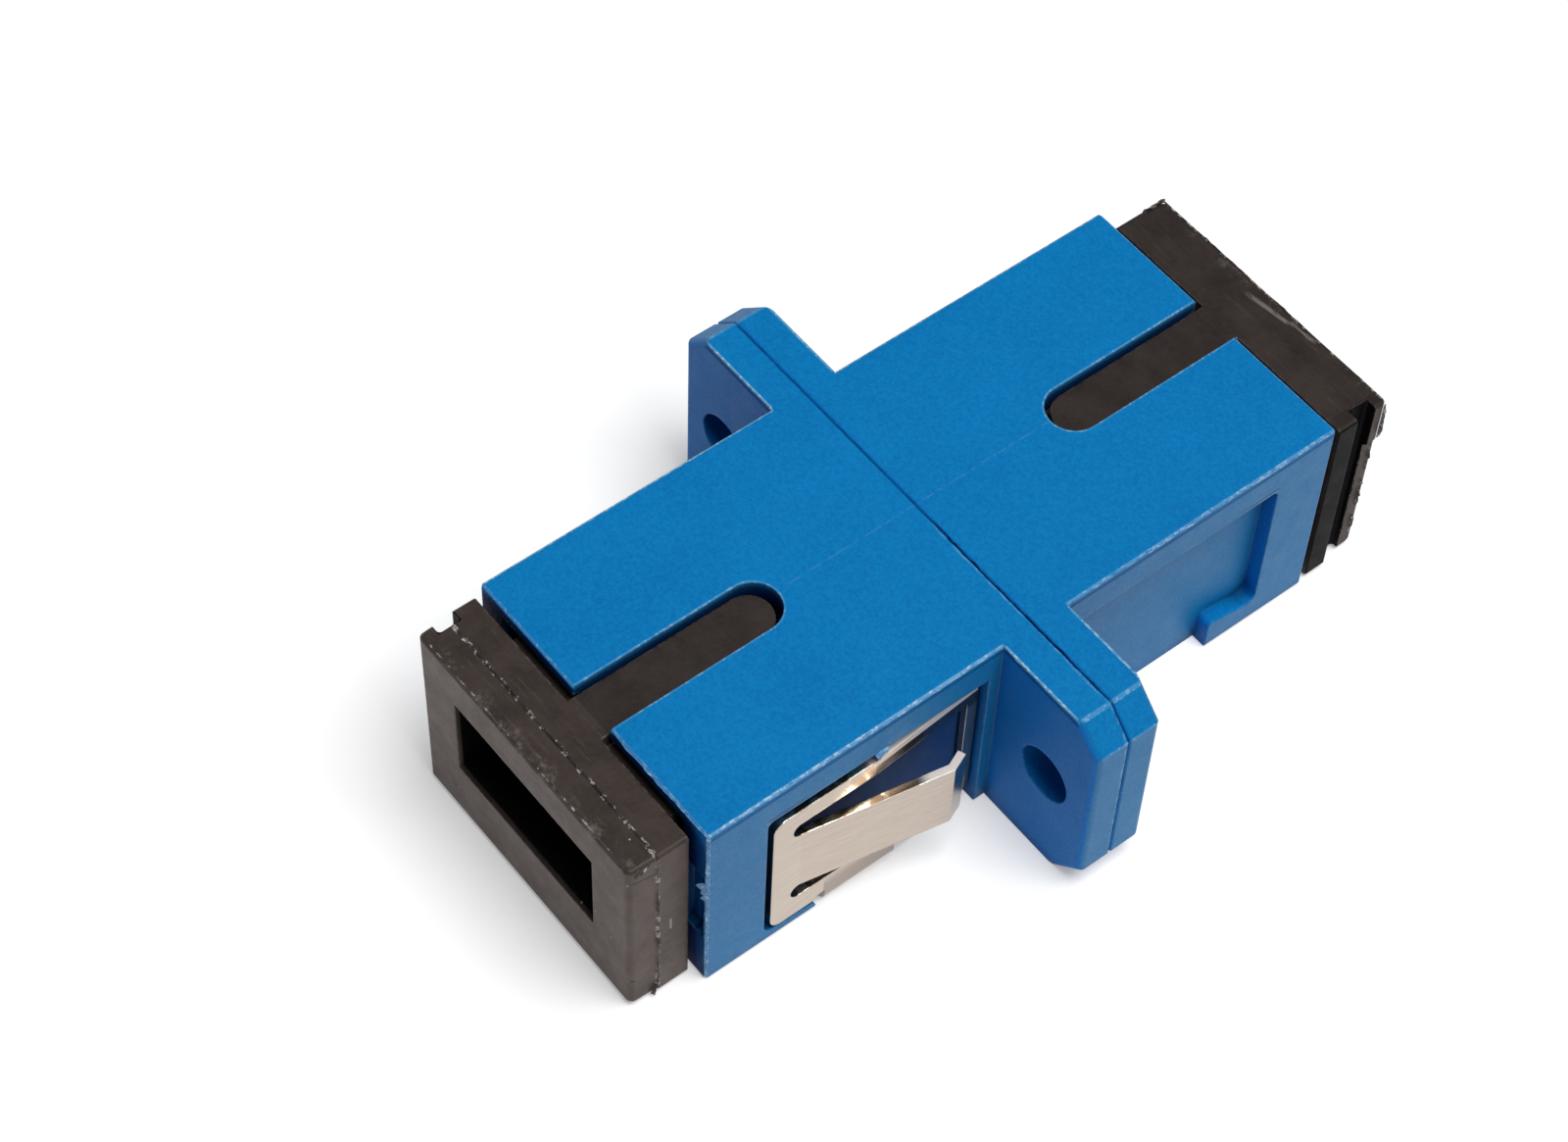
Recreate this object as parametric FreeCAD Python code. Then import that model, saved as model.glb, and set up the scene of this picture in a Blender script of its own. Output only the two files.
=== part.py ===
import FreeCAD, Part
import math
import os

V = FreeCAD.Vector

# A simplex fibre adapter: two moulded housing halves welded at a flange, two latch inserts
# that hold a split alignment sleeve, a stamped spring clip and a dust cap in each mouth.
# Millimetres. Y is the optical axis, Z is up with the key slots on top, and the origin lies
# under the middle of the flange, on the plane that the adapter rests on.

# Housing outside
body_width = 12.7
body_height = 9.2
half_length = 13.9
body_edge_radius = 0.16
mouth_rim_chamfer = 0.1
flange_width = 22.6
flange_half_thickness = 1.42
flange_corner_chamfer = 1.1
flange_edge_radius = 0.3
seam_chamfer = 0.08
hole_outward_shift = 0.175
hole_diameter = 2.3

# Socket in each half
cavity_width = 9.1
cavity_height = 7.4
lead_in_side = 0.5
lead_in_rise = 0.4
lead_in_depth = 1.3
key_slot_width = 2.1
key_slot_length = 7.8

# Moulding pockets in the mouth's end face
mouth_pocket_width = 0.95
mouth_pocket_height = 3.9
mouth_pocket_depth = 0.35
mouth_pocket_rim = 0.2

# Recess in each narrow side, where the clip's arm lies
recess_depth = 0.65
recess_top_margin = 1.55
recess_flange_margin = 0.5
recess_mouth_margin = 2.5
ledge_length = 2.3
front_ledge_heights = (0.55, 0.42)
rear_ledge_heights = (0.95, 1.45)
recess_corner_radius = 0.3
ledge_corner_radius = 0.4

# Latch insert: base plate, sleeve holder and two hooks
plate_thickness = 1.2
plate_rebate = 0.6
plate_clearance = 0.05
holder_diameter = 4.8
holder_lip_thickness = 0.35
holder_lip_opening = 2.7
holder_lip_flare = 0.25
holder_tip_chamfer = 0.3
hook_flex_gap = 0.15
hook_arm_thickness = 0.75
hook_arm_height = 4.3
hook_reach = 9.6
hook_nose_depth = 0.95
hook_nose_length = 1.5
hook_nose_lead = 0.55
hook_nose_bevel = 1.3
hook_nose_corner = 0.15
hook_root_slope = 0.5

# Split alignment sleeve
sleeve_inner_diameter = 2.5
sleeve_wall = 0.35
sleeve_length = 11.4
sleeve_slit = 0.45
sleeve_radial_clearance = 0.06
sleeve_end_gap = 0.05
sleeve_edge_chamfer = 0.08

# Spring clip, one stamped and folded strip
clip_thickness = 0.3
clip_stand_out = 0.03
clip_bend_radius = 0.25
clip_mouth_gap = 0.25
clip_flange_gap = 0.12
clip_top_gap = 0.45
clip_low_edge = 0.62
clip_corner_radius = 0.5
front_bar_width = 0.85
rear_bar_width = 0.5
upper_rail_width = 0.85
lower_rail_width = 1.1
leaf_slot_width = 0.7
rail_bend_from_mouth = 7.1
rear_floor_gap = 0.03
leaf_bend_from_mouth = 3.95
leaf_length = 6.6
leaf_flare_angle = 11.3
leaf_tip_length = 0.75
leaf_tip_angle = 34.0
bridge_from_mouth = 5.15
bridge_width = 3.1
bridge_side_gap = 0.12
clip_notch_width = 0.36
clip_notch_rise = 0.2

# Dust cap
cap_clearance = 0.15
cap_plug_wall = 0.8
cap_web = 0.9
cap_side_wall_gap = 0.7
cap_tip_chamfer = 0.3
cap_seat_gap = 0.3
cap_head_thickness = 2.4
cap_parting_depth = 1.25
cap_head_width = 12.0
cap_head_offset = 0.28
cap_head_rise = 0.12
cap_head_drop = 0.45
cap_front_inset = 0.08
cap_parting_step = 0.04
cap_front_corner_radius = 0.25
cap_front_chamfer = 0.1
cap_back_chamfer = 0.1
cap_window_width = 7.8
cap_window_height = 3.25
cap_window_lip = 0.65
cap_window_lip_depth = 0.25
cap_window_draft = 0.15
cap_key_clearance = 0.1
cap_key_end_gap = 0.3
grip_groove_width = 0.9
grip_groove_depth = 0.5
grip_groove_from_front = 0.6
grip_groove_corner_radius = 0.15
grip_rim_setback = 0.25
grip_shoulder_height = 6.4

# How far a cutting body runs past the face that it cuts, and a fused one into its neighbour
overshoot = 1.0
overlap = 0.1

# Worked out from the sizes above
mid_height = body_height / 2
side_face = body_width / 2
hole_spacing = side_face + flange_width / 2 + 2 * hole_outward_shift
recess_floor = side_face - recess_depth
recess_top = body_height - recess_top_margin
recess_mouth_end = half_length - recess_mouth_margin
recess_flange_end = flange_half_thickness + recess_flange_margin
ledge_end = recess_mouth_end - ledge_length
cavity_bottom = mid_height - cavity_height / 2
cavity_top = mid_height + cavity_height / 2
cavity_side = cavity_width / 2
slot_end = half_length - key_slot_length
bridge_mouth_end = half_length - bridge_from_mouth
bridge_flange_end = bridge_mouth_end - bridge_width
sleeve_outer_radius = sleeve_inner_diameter / 2 + sleeve_wall
holder_bore_radius = sleeve_outer_radius + sleeve_radial_clearance
holder_shoulder = sleeve_length / 2 + sleeve_end_gap
holder_reach = holder_shoulder + holder_lip_thickness
hook_outer = cavity_side - hook_flex_gap
hook_inner = hook_outer - hook_arm_thickness
hook_nose_face = hook_inner - hook_nose_depth
hook_low = mid_height - hook_arm_height / 2
hook_high = mid_height + hook_arm_height / 2
clip_outer = side_face + clip_stand_out
clip_mouth_end = recess_mouth_end - clip_mouth_gap
clip_flange_end = recess_flange_end + clip_flange_gap
clip_top = recess_top - clip_top_gap
slot_high = clip_top - upper_rail_width
slot_low = clip_low_edge + lower_rail_width
cap_back = half_length + cap_seat_gap
cap_parting = cap_back + cap_parting_depth
cap_face = cap_back + cap_head_thickness
cap_top = body_height - cap_head_drop


def block(x0, x1, y0, y1, z0, z1):
    """A box between two corners."""
    return Part.makeBox(x1 - x0, y1 - y0, z1 - z0, V(x0, y0, z0))


def prism(points, direction):
    """A straight prism from a closed outline of vectors."""
    wire = Part.makePolygon(points + [points[0]])
    return Part.Face(wire).extrude(direction)


def prism_yz(outline, x0, x1):
    """An outline of (y, z) points, drawn along X."""
    return prism([V(x0, y, z) for y, z in outline], V(x1 - x0, 0, 0))


def prism_xz(outline, y0, y1):
    """An outline of (x, z) points, drawn along Y."""
    return prism([V(x, y0, z) for x, z in outline], V(0, y1 - y0, 0))


def prism_xy(outline, z0, z1):
    """An outline of (x, y) points, drawn along Z."""
    return prism([V(x, y, z0) for x, y in outline], V(0, 0, z1 - z0))


def y_cylinder(radius, y0, y1, x=0.0, z=mid_height):
    """A round bar along the optical axis."""
    return Part.makeCylinder(radius, y1 - y0, V(x, y0, z), V(0, 1, 0))


def rectangle_wire(width_low, width_high, z_low, z_high, y):
    """A closed rectangle across the optical axis."""
    corners = [V(width_low, y, z_low), V(width_high, y, z_low),
               V(width_high, y, z_high), V(width_low, y, z_high)]
    return Part.makePolygon(corners + [corners[0]])


def tapered_block(near, far):
    """A ruled block between two rectangles, each given as (x0, x1, z0, z1, y)."""
    return Part.makeLoft([rectangle_wire(*near), rectangle_wire(*far)], True, True)


def edges_where(shape, test):
    """The edges whose both ends and middle pass a test on their position."""
    picked = []
    for edge in shape.Edges:
        middle = edge.valueAt((edge.FirstParameter + edge.LastParameter) / 2)
        points = [vertex.Point for vertex in edge.Vertexes] + [middle]
        if all(test(point) for point in points):
            picked.append(edge)
    return picked


def near(value, target):
    return abs(value - target) < 1e-4


def to_front(shape):
    """Turns a piece that was drawn for the rear mouth round to the front mouth."""
    turned = shape.copy()
    turned.rotate(V(0, 0, 0), V(0, 0, 1), 180)
    return turned


def flange_outline():
    """The flange seen along the optical axis, with its four cut corners."""
    half = flange_width / 2
    cut = flange_corner_chamfer
    return [(-half, cut), (-half + cut, 0), (half - cut, 0), (half, cut),
            (half, body_height - cut), (half - cut, body_height),
            (-half + cut, body_height), (-half, body_height - cut)]


def flange_half():
    """Half of the flange's thickness, softened round its outer face."""
    plate = prism_xz(flange_outline(), 0, flange_half_thickness)

    def wing_edge(point):
        return near(point.y, flange_half_thickness) and abs(point.x) > side_face

    plate = plate.makeFillet(flange_edge_radius, edges_where(plate, wing_edge))
    seam = [e for e in plate.Edges if all(near(v.Point.y, 0) for v in e.Vertexes)]
    return plate.makeChamfer(seam_chamfer, seam)


def body_half():
    """The square tube's outside, from the seam to the mouth."""
    tube = block(-side_face, side_face, seam_chamfer, half_length, 0, body_height)

    def long_edge(point):
        return near(abs(point.x), side_face) and near(abs(point.z - mid_height), mid_height)

    tube = tube.makeFillet(body_edge_radius, edges_where(tube, long_edge))
    return tube.makeChamfer(mouth_rim_chamfer, edges_where(tube, lambda p: near(p.y, half_length)))


def socket_cut():
    """Everything that the plug's socket takes out of a half."""
    mouth = half_length + overshoot
    hollow = block(-cavity_side, cavity_side, -overshoot, mouth, cavity_bottom, cavity_top)
    rebate_side = cavity_side + plate_rebate
    rebate = block(-rebate_side, rebate_side, -overshoot, plate_thickness, cavity_bottom, cavity_top)
    inner = (-cavity_side, cavity_side, cavity_bottom, cavity_top, half_length - lead_in_depth)
    outer = (-cavity_side - lead_in_side, cavity_side + lead_in_side,
             cavity_bottom - lead_in_rise, cavity_top + lead_in_rise, half_length + 1e-3)
    return hollow.fuse([rebate, tapered_block(inner, outer)])


def key_slot_cut():
    """The slot in the top wall that the plug's key runs in, with its round end."""
    radius = key_slot_width / 2
    end_centre = slot_end + radius
    top = body_height + overshoot
    straight = block(-radius, radius, end_centre, half_length + overshoot, mid_height, top)
    round_end = Part.makeCylinder(radius, top - mid_height, V(0, end_centre, mid_height))
    return straight.fuse(round_end)


def side_recess_cut(ledge_heights):
    """The recess in one narrow side: closed towards the mouth by a wall that stands on a
    ledge, open at the bottom between the ledge and the flange."""
    at_wall, at_end = ledge_heights
    outline = [(recess_flange_end, -overshoot), (recess_flange_end, recess_top),
               (recess_mouth_end, recess_top), (recess_mouth_end, at_wall),
               (ledge_end, at_end), (ledge_end, -overshoot)]
    cut = prism_yz(outline, recess_floor, side_face + overshoot)

    def soft_corner(point):
        over_ledge = near(point.y, ledge_end) and near(point.z, at_end)
        return over_ledge or (near(point.y, recess_mouth_end) and near(point.z, recess_top))

    cut = cut.makeFillet(recess_corner_radius, edges_where(cut, soft_corner))
    foot = edges_where(cut, lambda p: near(p.y, recess_mouth_end) and near(p.z, at_wall))
    return cut.makeFillet(ledge_corner_radius, foot)


def mouth_pocket_cut():
    """The shallow pocket in the end face of one side wall."""
    outer = side_face - mouth_pocket_rim
    half = mouth_pocket_height / 2
    return block(outer - mouth_pocket_width, outer, half_length - mouth_pocket_depth,
                 half_length + overshoot, mid_height - half, mid_height + half)


def both_sides(shape):
    """A feature on the +X side and its mirror image on the -X side."""
    return [shape, shape.mirror(V(0, 0, 0), V(1, 0, 0))]


def screw_hole_cuts():
    """The two screw holes, each a little outside the middle of its wing."""
    radius = hole_diameter / 2
    depth = flange_half_thickness + overshoot
    return [y_cylinder(radius, -overshoot, depth, x=side * hole_spacing / 2) for side in (-1, 1)]


def housing_half(ledge_heights):
    """One moulded half, drawn with its mouth towards +Y."""
    half = flange_half().fuse(body_half()).removeSplitter()
    cuts = [socket_cut(), key_slot_cut()]
    cuts += both_sides(side_recess_cut(ledge_heights))
    cuts += both_sides(mouth_pocket_cut())
    cuts += screw_hole_cuts()
    return half.cut(cuts)


def front_housing():
    """The half that carries the clip, with a shallow step across its bottom for the bridge."""
    reach = side_face + overshoot
    step = block(-reach, reach, bridge_flange_end - bridge_side_gap,
                 bridge_mouth_end + bridge_side_gap, -overshoot, clip_thickness)
    return to_front(housing_half(front_ledge_heights).cut(step))


def rear_housing():
    return housing_half(rear_ledge_heights)


def sleeve_holder():
    """The barrel on the insert's plate, lipped at its tip to keep the sleeve in."""
    barrel = y_cylinder(holder_diameter / 2, plate_thickness / 2, holder_reach)
    return barrel.makeChamfer(holder_tip_chamfer, edges_where(barrel, lambda p: near(p.y, holder_reach)))


def hook():
    """One cantilever latch on the +X side: a flat arm with a bevelled nose at its end."""
    root = plate_thickness / 2
    nose_end = hook_reach - hook_nose_lead
    nose_start = nose_end - hook_nose_length
    corner = hook_nose_corner
    plan = [(hook_outer, root), (hook_outer, hook_reach), (hook_inner, hook_reach),
            (hook_nose_face, nose_end), (hook_nose_face, nose_start + corner),
            (hook_nose_face + corner, nose_start), (hook_inner, nose_start), (hook_inner, root)]
    arm = prism_xy(plan, hook_low, hook_high)
    section = [(hook_outer, hook_low), (hook_outer, hook_high), (hook_inner, hook_high),
               (hook_nose_face, hook_high - hook_nose_bevel),
               (hook_nose_face, hook_low + hook_nose_bevel), (hook_inner, hook_low)]
    return arm.common(prism_xz(section, 0, hook_reach))


def hook_root_gusset():
    """A small slope where the hook's arm grows out of the plate."""
    size = hook_root_slope
    corner = [(hook_inner, plate_thickness), (hook_inner - size, plate_thickness),
              (hook_inner, plate_thickness + size)]
    return prism_xy(corner, hook_low, hook_high)


def latch_insert():
    """The insert of one half, drawn with its hooks towards +Y."""
    plate_side = cavity_side + plate_rebate - plate_clearance
    plate_low = cavity_bottom + plate_clearance
    plate_high = cavity_top - plate_clearance
    plate = block(-plate_side, plate_side, 0, plate_thickness, plate_low, plate_high)
    pieces = [sleeve_holder()] + both_sides(hook()) + both_sides(hook_root_gusset())
    bore = y_cylinder(holder_bore_radius, -overshoot, holder_shoulder)
    narrow = holder_lip_opening / 2
    opening = Part.makeCone(narrow, narrow + holder_lip_flare, holder_lip_thickness,
                            V(0, holder_shoulder, mid_height), V(0, 1, 0))
    return plate.fuse(pieces).removeSplitter().cut([bore, opening])


def split_sleeve():
    """The zirconia sleeve: a thin tube with one slit along its whole length."""
    half = sleeve_length / 2
    outer = y_cylinder(sleeve_outer_radius, -half, half)
    rims = [e for e in outer.Edges if near(e.BoundBox.YLength, 0)]
    outer = outer.makeChamfer(sleeve_edge_chamfer, rims)
    past = half + overshoot
    inner = y_cylinder(sleeve_inner_diameter / 2, -past, past)
    slit = block(0, sleeve_outer_radius + overshoot, -past, past,
                 mid_height - sleeve_slit / 2, mid_height + sleeve_slit / 2)
    return outer.cut([inner, slit])


def sheet_profile(face_line, thickness):
    """The section of a bent sheet whose outer face follows a line of (x, y) points: the
    inner face is the same line, set back square to each stretch."""
    headings = [math.atan2(y1 - y0, x1 - x0) for (x0, y0), (x1, y1) in zip(face_line, face_line[1:])]
    inner = []
    for (x, y), before, after in zip(face_line, headings[:1] + headings, headings + headings[-1:]):
        middle = (before + after) / 2
        reach = thickness / math.cos((after - before) / 2)
        inner.append((x + reach * math.sin(middle), y - reach * math.cos(middle)))
    return face_line + inner[::-1]


def clip_frame_outline():
    """The outside of an arm's frame, seen from the side, with its four rounded corners."""
    plate = block(recess_floor - overshoot, side_face + overshoot, clip_flange_end, clip_mouth_end,
                  clip_low_edge, clip_top)
    corners = [e for e in plate.Edges if near(e.BoundBox.YLength, 0) and near(e.BoundBox.ZLength, 0)]
    return plate.makeFillet(clip_corner_radius, corners)


def clip_frame_cuts():
    """The window in an arm's frame, with a round slot end above and below the leaf's root,
    and the notch that lets the bridge fold up."""
    x0, x1 = recess_floor - overshoot, side_face + overshoot
    radius = leaf_slot_width / 2
    slot_end_centre = clip_mouth_end - front_bar_width - radius
    window = block(x0, x1, clip_flange_end + rear_bar_width, slot_end_centre, slot_low, slot_high)
    ends = [Part.makeCylinder(radius, x1 - x0, V(x0, slot_end_centre, z), V(1, 0, 0))
            for z in (slot_high - radius, slot_low + radius)]
    notch = block(x0, x1, bridge_mouth_end, bridge_mouth_end + clip_notch_width,
                  -overshoot, clip_low_edge + clip_notch_rise)
    return [window, notch] + ends


def clip_arm_frame():
    """The arm's frame on the +X side, bent inwards towards the flange."""
    bend = half_length - rail_bend_from_mouth
    rear_outer = recess_floor + rear_floor_gap + clip_thickness
    line = [(clip_outer, clip_mouth_end + overshoot), (clip_outer, bend), (rear_outer, clip_flange_end)]
    sheet = prism_xy(sheet_profile(line, clip_thickness), 0, body_height)
    return sheet.common(clip_frame_outline()).cut(clip_frame_cuts())


def clip_leaf():
    """The leaf inside the frame: level at its root, flared outwards towards the flange, with
    its tip turned back in."""
    root = clip_mouth_end - front_bar_width / 2
    bend = half_length - leaf_bend_from_mouth
    flare = math.radians(leaf_flare_angle)
    curl = math.radians(leaf_flare_angle - leaf_tip_angle)
    straight = leaf_length - leaf_tip_length
    tip_bend = (clip_outer + straight * math.sin(flare), bend - straight * math.cos(flare))
    tip = (tip_bend[0] + leaf_tip_length * math.sin(curl),
           tip_bend[1] - leaf_tip_length * math.cos(curl))
    line = [(clip_outer, root), (clip_outer, bend), tip_bend, tip]
    section = sheet_profile(line, clip_thickness)
    return prism_xy(section, slot_low + leaf_slot_width, slot_high - leaf_slot_width)


def clip_bridge():
    """The strip under the body that joins the two arms, folded up at both ends."""
    inner = clip_outer - clip_thickness
    y0, y1 = bridge_flange_end, bridge_mouth_end
    top = clip_low_edge + lower_rail_width / 2
    shell = block(-clip_outer, clip_outer, y0, y1, 0, top)
    hollow = block(-inner, inner, y0 - overshoot, y1 + overshoot, clip_thickness, top + overshoot)
    outer_fold = edges_where(shell, lambda p: near(abs(p.x), clip_outer) and near(p.z, 0))
    shell = shell.makeFillet(clip_bend_radius + clip_thickness, outer_fold)
    inner_fold = edges_where(hollow, lambda p: near(abs(p.x), inner) and near(p.z, clip_thickness))
    hollow = hollow.makeFillet(clip_bend_radius, inner_fold)
    return shell.cut(hollow)


def spring_clip():
    """The whole clip, on the front half."""
    arms = both_sides(clip_arm_frame().fuse(clip_leaf()))
    return to_front(clip_bridge().fuse(arms).removeSplitter())


def cap_head():
    """The head that closes the mouth: a straight back part, a parting step and a front part
    that narrows a little towards the face."""
    left = cap_head_offset - cap_head_width / 2
    right = cap_head_offset + cap_head_width / 2
    low, high = cap_head_rise, cap_top
    rear_part = block(left, right, cap_back, cap_parting, low, high)
    long_edges = [e for e in rear_part.Edges if near(e.BoundBox.YLength, cap_parting_depth)]
    rear_part = rear_part.makeChamfer(cap_back_chamfer, long_edges)
    step = cap_parting_step
    inset = cap_front_inset
    front_part = tapered_block((left + step, right - step, low + step, high - step, cap_parting),
                               (left + inset, right - inset, low + inset, high - inset, cap_face))
    upright = [e for e in front_part.Edges if near(e.BoundBox.YMin, cap_face)
               and near(e.BoundBox.XLength, 0)]
    front_part = front_part.makeFillet(cap_front_corner_radius, upright)
    rims = [e for e in front_part.Edges if near(e.BoundBox.YMax, cap_face)
            and near(e.BoundBox.ZLength, 0) and near(e.BoundBox.YLength, 0)]
    return rear_part.fuse(front_part.makeChamfer(cap_front_chamfer, rims))


def cap_plug():
    """The hollow plug on the back of the head, cut away at its sides to clear the hooks, with
    the key on its top."""
    side = cavity_side - cap_clearance
    low = cavity_bottom + cap_clearance
    high = cavity_top - cap_clearance
    tip = slot_end + cap_key_end_gap
    wall = cap_plug_wall
    plug = block(-side, side, tip, cap_back + overlap, low, high)
    plug = plug.makeChamfer(cap_tip_chamfer, edges_where(plug, lambda p: near(p.y, tip)))
    hollow = block(-side + wall, side - wall, tip - overshoot, cap_back - cap_web,
                   low + wall, high - wall)
    past = side + overshoot
    sides = block(-past, past, tip - overshoot, hook_reach + cap_side_wall_gap,
                  low + wall, high - wall)
    return plug.cut([hollow, sides]).fuse(cap_key())


def cap_key():
    """The key that fills the slot in the housing's top wall."""
    radius = key_slot_width / 2 - cap_key_clearance
    end_centre = slot_end + cap_key_end_gap + radius
    low = cavity_top - cap_clearance - cap_plug_wall / 2
    straight = block(-radius, radius, end_centre, cap_back + overlap, low, cap_top)
    return straight.fuse(Part.makeCylinder(radius, cap_top - low, V(0, end_centre, low)))


def cap_window_cut():
    """The deep window in the head's face, with a shallow lip along its upper edge."""
    left = cap_head_offset - cap_window_width / 2
    right = cap_head_offset + cap_window_width / 2
    low = mid_height - cap_window_height / 2
    high = mid_height + cap_window_height / 2
    draft = cap_window_draft
    deep = tapered_block((left + draft, right - draft, low + draft, high - draft, cap_back),
                         (left, right, low, high, cap_face))
    lip = block(left, right, cap_face - cap_window_lip_depth, cap_face + overshoot,
                high - overlap, high + cap_window_lip)
    return deep.fuse(lip)


def grip_groove_cut():
    """The upright groove for a fingernail, right through one side of the head, with the rim
    in front of it set back below a sloped shoulder."""
    front = cap_face - grip_groove_from_front
    back = front - grip_groove_width
    side = cap_head_offset + cap_head_width / 2
    floor = side - grip_groove_depth
    groove = block(floor, side + overshoot, back, front, -overshoot, cap_top + overshoot)
    inner = [e for e in groove.Edges if near(e.BoundBox.XMax, floor) and near(e.BoundBox.YLength, 0)]
    groove = groove.makeFillet(grip_groove_corner_radius, inner)
    rim = side - grip_rim_setback
    slope = grip_rim_setback + overshoot
    outline = [(rim, -overshoot), (rim, grip_shoulder_height),
               (rim + slope, grip_shoulder_height + slope), (rim + slope, -overshoot)]
    return groove.fuse(prism_xz(outline, front - grip_groove_corner_radius, cap_face + overshoot))


def dust_cap():
    """One cap, drawn for the rear mouth."""
    return cap_head().fuse(cap_plug()).removeSplitter().cut([cap_window_cut(), grip_groove_cut()])


def main():
    nodes = {
        "front_housing": front_housing(),
        "rear_housing": rear_housing(),
        "front_latch_insert": to_front(latch_insert()),
        "rear_latch_insert": latch_insert(),
        "split_sleeve": split_sleeve(),
        "spring_clip": spring_clip(),
        "front_dust_cap": to_front(dust_cap()),
        "rear_dust_cap": dust_cap(),
    }
    os.makedirs("parts", exist_ok=True)
    for name, shape in nodes.items():
        solid = shape.Solids[0] if len(shape.Solids) == 1 else shape
        solid.exportStep("parts/" + name + ".step")
        box = solid.BoundBox
        print(name, len(shape.Solids), solid.isValid(), round(solid.Volume, 2),
              [round(v, 2) for v in (box.XMin, box.XMax, box.YMin, box.YMax, box.ZMin, box.ZMax)])


main()
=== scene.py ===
from functools import cached_property
import math

import bmesh
import bpy
from mathutils import Euler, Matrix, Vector, noise


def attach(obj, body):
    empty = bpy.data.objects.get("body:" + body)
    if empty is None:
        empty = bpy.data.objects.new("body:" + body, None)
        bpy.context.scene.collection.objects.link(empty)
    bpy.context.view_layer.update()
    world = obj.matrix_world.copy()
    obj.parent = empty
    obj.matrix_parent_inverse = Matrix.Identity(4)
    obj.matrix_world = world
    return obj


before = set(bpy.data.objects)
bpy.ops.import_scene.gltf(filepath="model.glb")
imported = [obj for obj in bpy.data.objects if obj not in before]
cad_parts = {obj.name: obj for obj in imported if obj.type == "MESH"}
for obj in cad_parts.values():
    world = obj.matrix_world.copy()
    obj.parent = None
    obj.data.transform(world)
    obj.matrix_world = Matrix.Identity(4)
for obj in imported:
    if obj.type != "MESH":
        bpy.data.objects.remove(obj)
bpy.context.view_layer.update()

MM = 0.001

# Sizes that the materials and the added flash share with the solids, in millimetres from the
# middle of the adapter's underside: X across it, Y along it, Z up. The near cap is at -Y.
SIDE = 6.35                  # the body's long sides
TOP = 9.2                    # top of the body and the flange
MOUTH = 13.9                 # the body's ends
MIDDLE = 4.6                 # height of the sockets' and screw holes' middle
FLANGE_HALF = 1.42           # half of the flange's thickness
FLANGE_END = 11.3            # the flange's tips
FLANGE_CUT = 1.1             # its cut corners
HOLE_OUT = 9.0               # screw holes in the flange
HOLE_RADIUS = 1.15
SLOT_HALF = 1.05             # key slots: half width, closed end, middle of its round
SLOT_END = 6.1
SLOT_ROUND = SLOT_END + SLOT_HALF
RECESS_TOP = 7.65            # recesses of the long sides: top edge, floor, end at the mouth
RECESS_FLOOR = 5.7
RECESS_MOUTH_END = 11.4
CLIP_TOP = 7.2               # top edge of the clip's side frames
RAIL_LOW = 6.0               # just under their upper rails
RAIL_FADE = -7.6             # where painted shade on them starts, before they bend into the recess
BRIDGE_MIDDLE = -7.2         # the clip's bridge under the body
BRIDGE_HALF = 1.6
CAP_TOP = 8.75               # dust caps: top of the head
CAP_SIDE_NEAR = 5.72         # the head's narrow side, +X on the near cap and -X on the far
CAP_SIDE_FAR = 6.28          # the head's wide side, -X on the near cap and +X on the far
CAP_PARTING = 15.45          # the head's parting line
CAP_SEAT_END = 15.1          # the grip's groove in the wide side: its start and its middle
CAP_GROOVE = 15.55
CAP_GROOVE_HALF = 0.46
CAP_FACE = 16.6              # the head's outer face
WINDOW_HALF = 4.22           # the window in it
WINDOW_HALF_HEIGHT = 1.64
KEY_HALF = 1.1               # a band that takes in the cap's key in the key slot

ACROSS, ALONG, UP = (1, 0, 0), (0, 1, 0), (0, 0, 1)

# The darkest and the palest colour of each mottled face
# The side, top and end blues are one plastic in painted shading, lighter or deeper by the way
# each face is turned to the light
SIDE_SHADING_BLUE = (0.0008, 0.141, 0.362, 1), (0.0029, 0.194, 0.450, 1)
TOP_SHADING_BLUE = (0.0008, 0.162, 0.445, 1), (0.0030, 0.222, 0.551, 1)
END_SHADING_BLUE = (0.0008, 0.142, 0.497, 1), (0.0029, 0.197, 0.617, 1)
INSERT_BLUE = (0.0014, 0.115, 0.345, 1), (0.0026, 0.140, 0.405, 1)
# The caps' top black and side black are one black in painted shading: darker on the tops,
# browner on the upright faces
CAP_TOP_SHADING_BLACK = (0.018, 0.0135, 0.012, 1), (0.040, 0.030, 0.026, 1)
CAP_SIDE_SHADING_BLACK = (0.058, 0.041, 0.034, 1), (0.100, 0.071, 0.060, 1)
STEEL = (0.46, 0.385, 0.32, 1), (0.54, 0.455, 0.385, 1)
ZIRCONIA = (0.78, 0.765, 0.72, 1), (0.86, 0.85, 0.82, 1)


def linear(red, green, blue):
    """A scene colour from an sRGB one written in 0 to 255."""
    def channel(value):
        value /= 255
        return value / 12.92 if value <= 0.04045 else ((value + 0.055) / 1.055) ** 2.4
    return (channel(red), channel(green), channel(blue), 1.0)


# Node trees

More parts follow.
